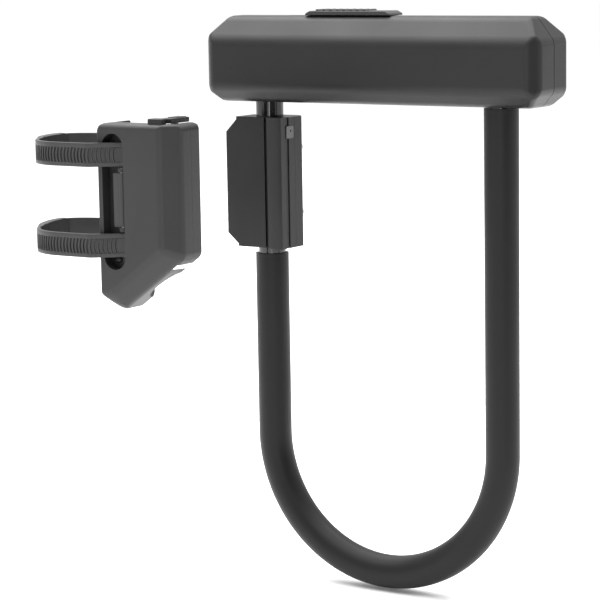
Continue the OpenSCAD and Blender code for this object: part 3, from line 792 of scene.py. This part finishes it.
def fillet(points, radii, step=0.8):
    """Rounds the inner corners of a flat line of points, each with its own radius."""
    out_points = [Vector(points[0])]
    for i in range(1, len(points) - 1):
        p, a, b = Vector(points[i]), Vector(points[i - 1]), Vector(points[i + 1])
        u, w = (a - p).normalized(), (b - p).normalized()
        half = u.angle(w) / 2
        reach = min(radii[i - 1] / math.tan(half), (a - p).length * 0.49, (b - p).length * 0.49)
        start, end = p + u * reach, p + w * reach
        n = max(2, int((end - start).length / step) + 1)
        for k in range(n + 1):
            t = k / n
            out_points.append(start * (1 - t) ** 2 + p * 2 * t * (1 - t) + end * t ** 2)
    out_points.append(Vector(points[-1]))
    return out_points


def strap_path(slack, rise):
    """Points of the band's middle line in millimetres, from its tail in the recess round to the bead."""
    s_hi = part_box("strap_upper")[1]
    tail_x = s_hi[0] / mm
    line = fillet([(tail_x, -8.6), (33.2, -8.6), (20.1, -band_r), (0, -band_r)], [4, 6])
    for i in range(1, 56):
        a = math.radians(-90 + 180 * i / 56)
        line.append(Vector((-(band_r + slack * math.cos(a)) * math.cos(a), band_r * math.sin(a))))
    line += fillet([(0, band_r), (5.2, band_r), (17.6, 12.3)], [6])
    path_points = []
    for p in line:
        up_part = min(1, max(0, (p.y + 12) / 26))
        up_part = up_part * up_part * (3 - 2 * up_part)
        fade = 1 - min(1, max(0, p.x / 10)) if p.y > 0 else 1
        path_points.append(Vector((p.x, p.y, rise * up_part * fade)))
    return path_points


def outward(points, i):
    """The unit vector that points away from the tube at one point of the path."""
    a, b = points[max(0, i - 1)], points[min(len(points) - 1, i + 1)]
    t = (b - a).normalized()
    return Vector((-t.y, t.x, 0)).normalized()


def swept_band(name, points, section, z_mid, taper=0):
    """Carries a closed section (outward, up) along a path; the ends close, drawn in over `taper` rings."""
    verts, faces, k = [], [], len(section)
    for i, p in enumerate(points):
        out_way = outward(points, i)
        near_end = min(i, len(points) - 1 - i)
        f = 1 if near_end >= taper else math.sin(math.pi / 2 * (0.25 + 0.75 * near_end / taper))
        for n, z in section:
            verts.append((p + out_way * n * f + Vector((0, 0, z * (0.7 + 0.3 * f) + z_mid))) * mm)
    for i in range(len(points) - 1):
        for j in range(k):
            a, b = i * k + j, i * k + (j + 1) % k
            faces.append((a, b, b + k, a + k))
    faces.append(tuple(range(k))[::-1])
    faces.append(tuple(range((len(points) - 1) * k, len(points) * k)))
    me = bpy.data.meshes.new(name)
    me.from_pydata(verts, [], faces)
    bm = bmesh.new()
    bm.from_mesh(me)
    bmesh.ops.recalc_face_normals(bm, faces=bm.faces)
    bm.to_mesh(me)
    bm.free()
    return me


# %% Strap ridge tree
tread_tree, given, result, tread_ids = growing_tree("strap_tread", [
    ("Pitch", FLOAT), ("Start", FLOAT), ("End", FLOAT), ("Half Length", FLOAT), ("Bow", FLOAT), ("Thickness", FLOAT),
    ("Material", MAT)])
curve = node(tread_tree, "GeometryNodeMeshToCurve")
part = node(tread_tree, "GeometryNodeTrimCurve", mode="FACTOR")
spots = node(tread_tree, "GeometryNodeCurveToPoints", mode="LENGTH")
align = node(tread_tree, "FunctionNodeAlignRotationToVector", axis="X", pivot_axis="Z")
arc = node(tread_tree, "GeometryNodeCurveQuadraticBezier")
arc.inputs["Resolution"].default_value = 8
tips = [node(tread_tree, "ShaderNodeCombineXYZ") for _ in range(3)]
minus = node(tread_tree, "ShaderNodeMath", operation="MULTIPLY")
minus.inputs[1].default_value = -1
link(tread_tree, given, "Half Length", minus, 0)
link(tread_tree, minus, 0, tips[0], 2)
link(tread_tree, given, "Bow", tips[1], 0)
link(tread_tree, given, "Half Length", tips[2], 2)
for t, socket in zip(tips, ("Start", "Middle", "End")):
    link(tread_tree, t, 0, arc, socket)
bead_ring = node(tread_tree, "GeometryNodeCurvePrimitiveCircle")
bead_ring.inputs["Resolution"].default_value = 8
link(tread_tree, given, "Thickness", bead_ring, "Radius")
rib = node(tread_tree, "GeometryNodeCurveToMesh")
rib.inputs["Fill Caps"].default_value = True
place = node(tread_tree, "GeometryNodeInstanceOnPoints")
link(tread_tree, given, "Geometry", curve, 0)
link(tread_tree, curve, 0, part, 0)
link(tread_tree, given, "Start", part, "Start")
link(tread_tree, given, "End", part, "End")
link(tread_tree, part, 0, spots, 0)
link(tread_tree, given, "Pitch", spots, "Length")
link(tread_tree, spots, "Tangent", align, "Vector")
link(tread_tree, arc, 0, rib, 0)
link(tread_tree, bead_ring, 0, rib, 1)
link(tread_tree, spots, 0, place, "Points")
link(tread_tree, rib, 0, place, "Instance")
link(tread_tree, align, 0, place, "Rotation")
close_tree(tread_tree, place, 0, given, result)

# %% Straps with tread and heads
band_section = [(-1, -5.3), (-0.85, -5.65), (-0.5, -5.75), (0.5, -5.75), (0.85, -5.65), (1, -5.3), (1, -4.0),
                (0.9, -3.85),
                (0.32, -3.6), (0.32, 3.2), (0.9, 3.45), (1, 3.6), (1, 5.3), (0.85, 5.65), (0.5, 5.75), (-0.5, 5.75),
                (-0.85, 5.65), (-1, 5.3)]
head_section = [(-1.9, -2.0), (-1.4, -2.5), (1.5, -2.5), (2.2, -1.6), (2.3, 2.0), (2.2, 5.0), (1.5, 6.1),
                (-1.4, 6.1), (-1.9, 5.6)]
for name, side, slack, rise in (("strap_upper", 1, 3.2, 1.5), ("strap_lower", -1, 4.4, 3.0)):
    z_mid = side * strap_z
    points = strap_path(slack, rise)
    band = shade(swept_band(name, points, band_section, z_mid), 40)
    crown = [p + outward(points, i) * 0.55 + Vector((0, 0, z_mid - 0.2)) for i, p in enumerate(points)]
    tread = shade(grow(name + "_tread", path_mesh(name + "_line", [p * mm for p in crown]), tread_tree, tread_ids,
                       Pitch=2.0 * mm, Start=0.075, End=0.74, Half_Length=3.75 * mm, Bow=1.5 * mm,
                       Thickness=0.46 * mm, Material=mats["strap_plastic"]), 50)
    left = [p for p in points if p.x < -15.5 and p.y > -7]
    head = shade(swept_band(name + "_head", left, head_section, z_mid, taper=4), 45)
    put(name + "_band", joined(name, [band, tread, head]), "bracket", "strap_plastic", [name])
    print(name, "path points:", len(points), "tread faces:", len(tread.polygons))

# %% CAD nodes that stay
for name, ob in nodes.items():
    slot = slot_of_node[name]
    for place in ob.material_slots:
        place.material = mats[slot]
    if not ob.material_slots:
        ob.data.materials.append(mats[slot])
